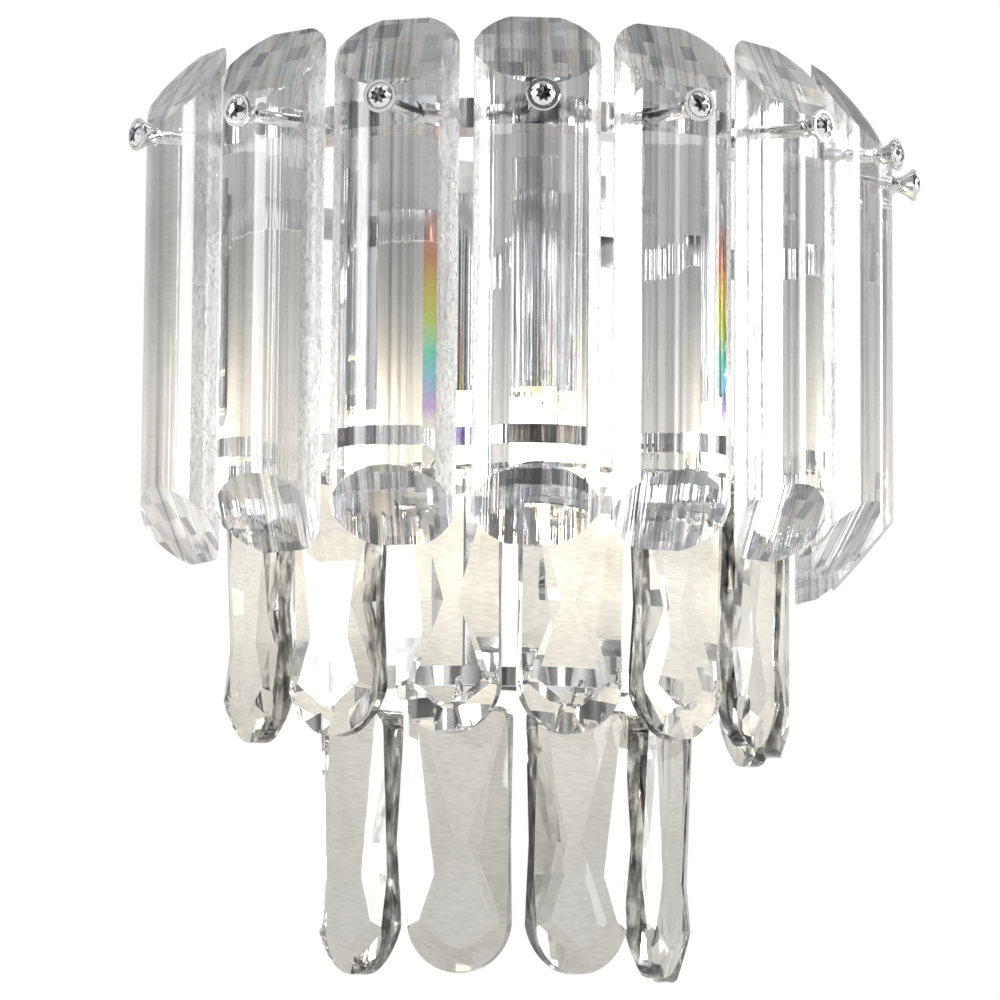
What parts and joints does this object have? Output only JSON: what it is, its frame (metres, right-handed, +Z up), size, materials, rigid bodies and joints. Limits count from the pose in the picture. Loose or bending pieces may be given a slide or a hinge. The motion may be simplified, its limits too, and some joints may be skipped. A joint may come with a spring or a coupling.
{
  "type": "crystal wall sconce",
  "caption": "Three-tier half-round wall sconce: chrome half rings carry bolted crystal bars above hanging faceted crystal plates, with downward capsule lamps inside.",
  "frame": {"origin": "middle of the canopy's back face, in the plane of the wall", "axes": "+Z up, the light stands out from the wall towards -Y, +X to the viewer's right"},
  "size_m": [0.3224, 0.1817, 0.3433],
  "materials": {
    "chrome_frame": "mirror-polished chrome plate",
    "polished_arm": "polished nickel-chrome plate",
    "zinc_bracket": "bright zinc-plated steel",
    "brass_terminal": "plain brass",
    "black_rubber": "soft black rubber",
    "ceramic": "glazed white steatite ceramic",
    "lead_sleeving": "white silicone sleeving",
    "bar_crystal": "clear polished crystal with rough-ground sides",
    "plate_crystal": "clear pressed and polished crystal",
    "stone_crystal": "foiled cut crystal",
    "lamp_glass": "frosted capsule, lit warm white"
  },
  "bodies": {
    "root": {"wall_bracket": "zinc_bracket", "bracket_fixings": "zinc_bracket", "cable_grommet": "black_rubber", "canopy_box": "chrome_frame", "terminal_block": "ceramic", "back_bar": "chrome_frame", "spine_uprights": "chrome_frame", "ring_crossbars": "chrome_frame", "frame_fixings": "chrome_frame", "top_ring": "chrome_frame", "mid_ring": "chrome_frame", "lower_ring": "chrome_frame", "crystal_bar_1": "bar_crystal", "crystal_bar_2": "bar_crystal", "crystal_bar_3": "bar_crystal", "crystal_bar_4": "bar_crystal", "crystal_bar_5": "bar_crystal", "crystal_bar_6": "bar_crystal", "crystal_bar_7": "bar_crystal", "crystal_bar_8": "bar_crystal", "crystal_bar_9": "bar_crystal", "bar_bolts": "zinc_bracket", "bar_bushes": "chrome_frame", "bar_cap_nuts": "chrome_frame", "bar_stones": "stone_crystal", "lamp_arm": "polished_arm", "lamp_arm_lid": "polished_arm", "lamp_arm_fixings": "chrome_frame", "lamp_sleeves": "chrome_frame", "lampholders": "ceramic", "lamp_left": "lamp_glass", "lamp_right": "lamp_glass", "lamp_front": "lamp_glass", "lamp_leads": "lead_sleeving"},
    "mid_pendant_1": {"mid_plate_1": "plate_crystal", "mid_hook_1": "chrome_frame"},
    "mid_pendant_2": {"mid_plate_2": "plate_crystal", "mid_hook_2": "chrome_frame"},
    "mid_pendant_3": {"mid_plate_3": "plate_crystal", "mid_hook_3": "chrome_frame"},
    "mid_pendant_4": {"mid_plate_4": "plate_crystal", "mid_hook_4": "chrome_frame"},
    "mid_pendant_5": {"mid_plate_5": "plate_crystal", "mid_hook_5": "chrome_frame"},
    "mid_pendant_6": {"mid_plate_6": "plate_crystal", "mid_hook_6": "chrome_frame"},
    "mid_pendant_7": {"mid_plate_7": "plate_crystal", "mid_hook_7": "chrome_frame"},
    "mid_pendant_8": {"mid_plate_8": "plate_crystal", "mid_hook_8": "chrome_frame"},
    "lower_pendant_1": {"lower_plate_1": "plate_crystal", "lower_hook_1": "chrome_frame"},
    "lower_pendant_2": {"lower_plate_2": "plate_crystal", "lower_hook_2": "chrome_frame"},
    "lower_pendant_3": {"lower_plate_3": "plate_crystal", "lower_hook_3": "chrome_frame"},
    "lower_pendant_4": {"lower_plate_4": "plate_crystal", "lower_hook_4": "chrome_frame"},
    "lower_pendant_5": {"lower_plate_5": "plate_crystal", "lower_hook_5": "chrome_frame"}
  },
  "joints": [
    {"name": "mid_swing_1", "type": "hinge", "parent": "root", "child": "mid_pendant_1", "pos_m": [-0.10418, -0.03044, -0.0726], "axis": [-0.0997, 0.995, 0], "range_deg": [-3, 18]},
    {"name": "mid_swing_2", "type": "hinge", "parent": "root", "child": "mid_pendant_2", "pos_m": [-0.09086, -0.07203, -0.0726], "axis": [-0.497, 0.8678, 0], "range_deg": [-3, 18]},
    {"name": "mid_swing_3", "type": "hinge", "parent": "root", "child": "mid_pendant_3", "pos_m": [-0.06172, -0.10458, -0.0726], "axis": [-0.8078, 0.5895, 0], "range_deg": [-3, 18]},
    {"name": "mid_swing_4", "type": "hinge", "parent": "root", "child": "mid_pendant_4", "pos_m": [-0.02184, -0.1224, -0.0726], "axis": [-0.978, 0.2086, 0], "range_deg": [-3, 18]},
    {"name": "mid_swing_5", "type": "hinge", "parent": "root", "child": "mid_pendant_5", "pos_m": [0.02184, -0.1224, -0.0726], "axis": [-0.978, -0.2086, 0], "range_deg": [-3, 18]},
    {"name": "mid_swing_6", "type": "hinge", "parent": "root", "child": "mid_pendant_6", "pos_m": [0.06172, -0.10458, -0.0726], "axis": [-0.8078, -0.5895, 0], "range_deg": [-3, 18]},
    {"name": "mid_swing_7", "type": "hinge", "parent": "root", "child": "mid_pendant_7", "pos_m": [0.09086, -0.07203, -0.0726], "axis": [-0.497, -0.8678, 0], "range_deg": [-3, 18]},
    {"name": "mid_swing_8", "type": "hinge", "parent": "root", "child": "mid_pendant_8", "pos_m": [0.10418, -0.03044, -0.0726], "axis": [-0.0997, -0.995, 0], "range_deg": [-3, 18]},
    {"name": "lower_swing_1", "type": "hinge", "parent": "root", "child": "lower_pendant_1", "pos_m": [-0.06433, -0.03563, -0.1573], "axis": [-0.2362, 0.9717, 0], "range_deg": [-2, 20]},
    {"name": "lower_swing_2", "type": "hinge", "parent": "root", "child": "lower_pendant_2", "pos_m": [-0.04091, -0.07204, -0.1573], "axis": [-0.7862, 0.618, 0], "range_deg": [-2, 20]},
    {"name": "lower_swing_3", "type": "hinge", "parent": "root", "child": "lower_pendant_3", "pos_m": [0, -0.0862, -0.1573], "axis": [-1, 0, 0], "range_deg": [-2, 20]},
    {"name": "lower_swing_4", "type": "hinge", "parent": "root", "child": "lower_pendant_4", "pos_m": [0.04091, -0.07204, -0.1573], "axis": [-0.7862, -0.618, 0], "range_deg": [-2, 20]},
    {"name": "lower_swing_5", "type": "hinge", "parent": "root", "child": "lower_pendant_5", "pos_m": [0.06433, -0.03563, -0.1573], "axis": [-0.2362, -0.9717, 0], "range_deg": [-2, 20]}
  ]
}
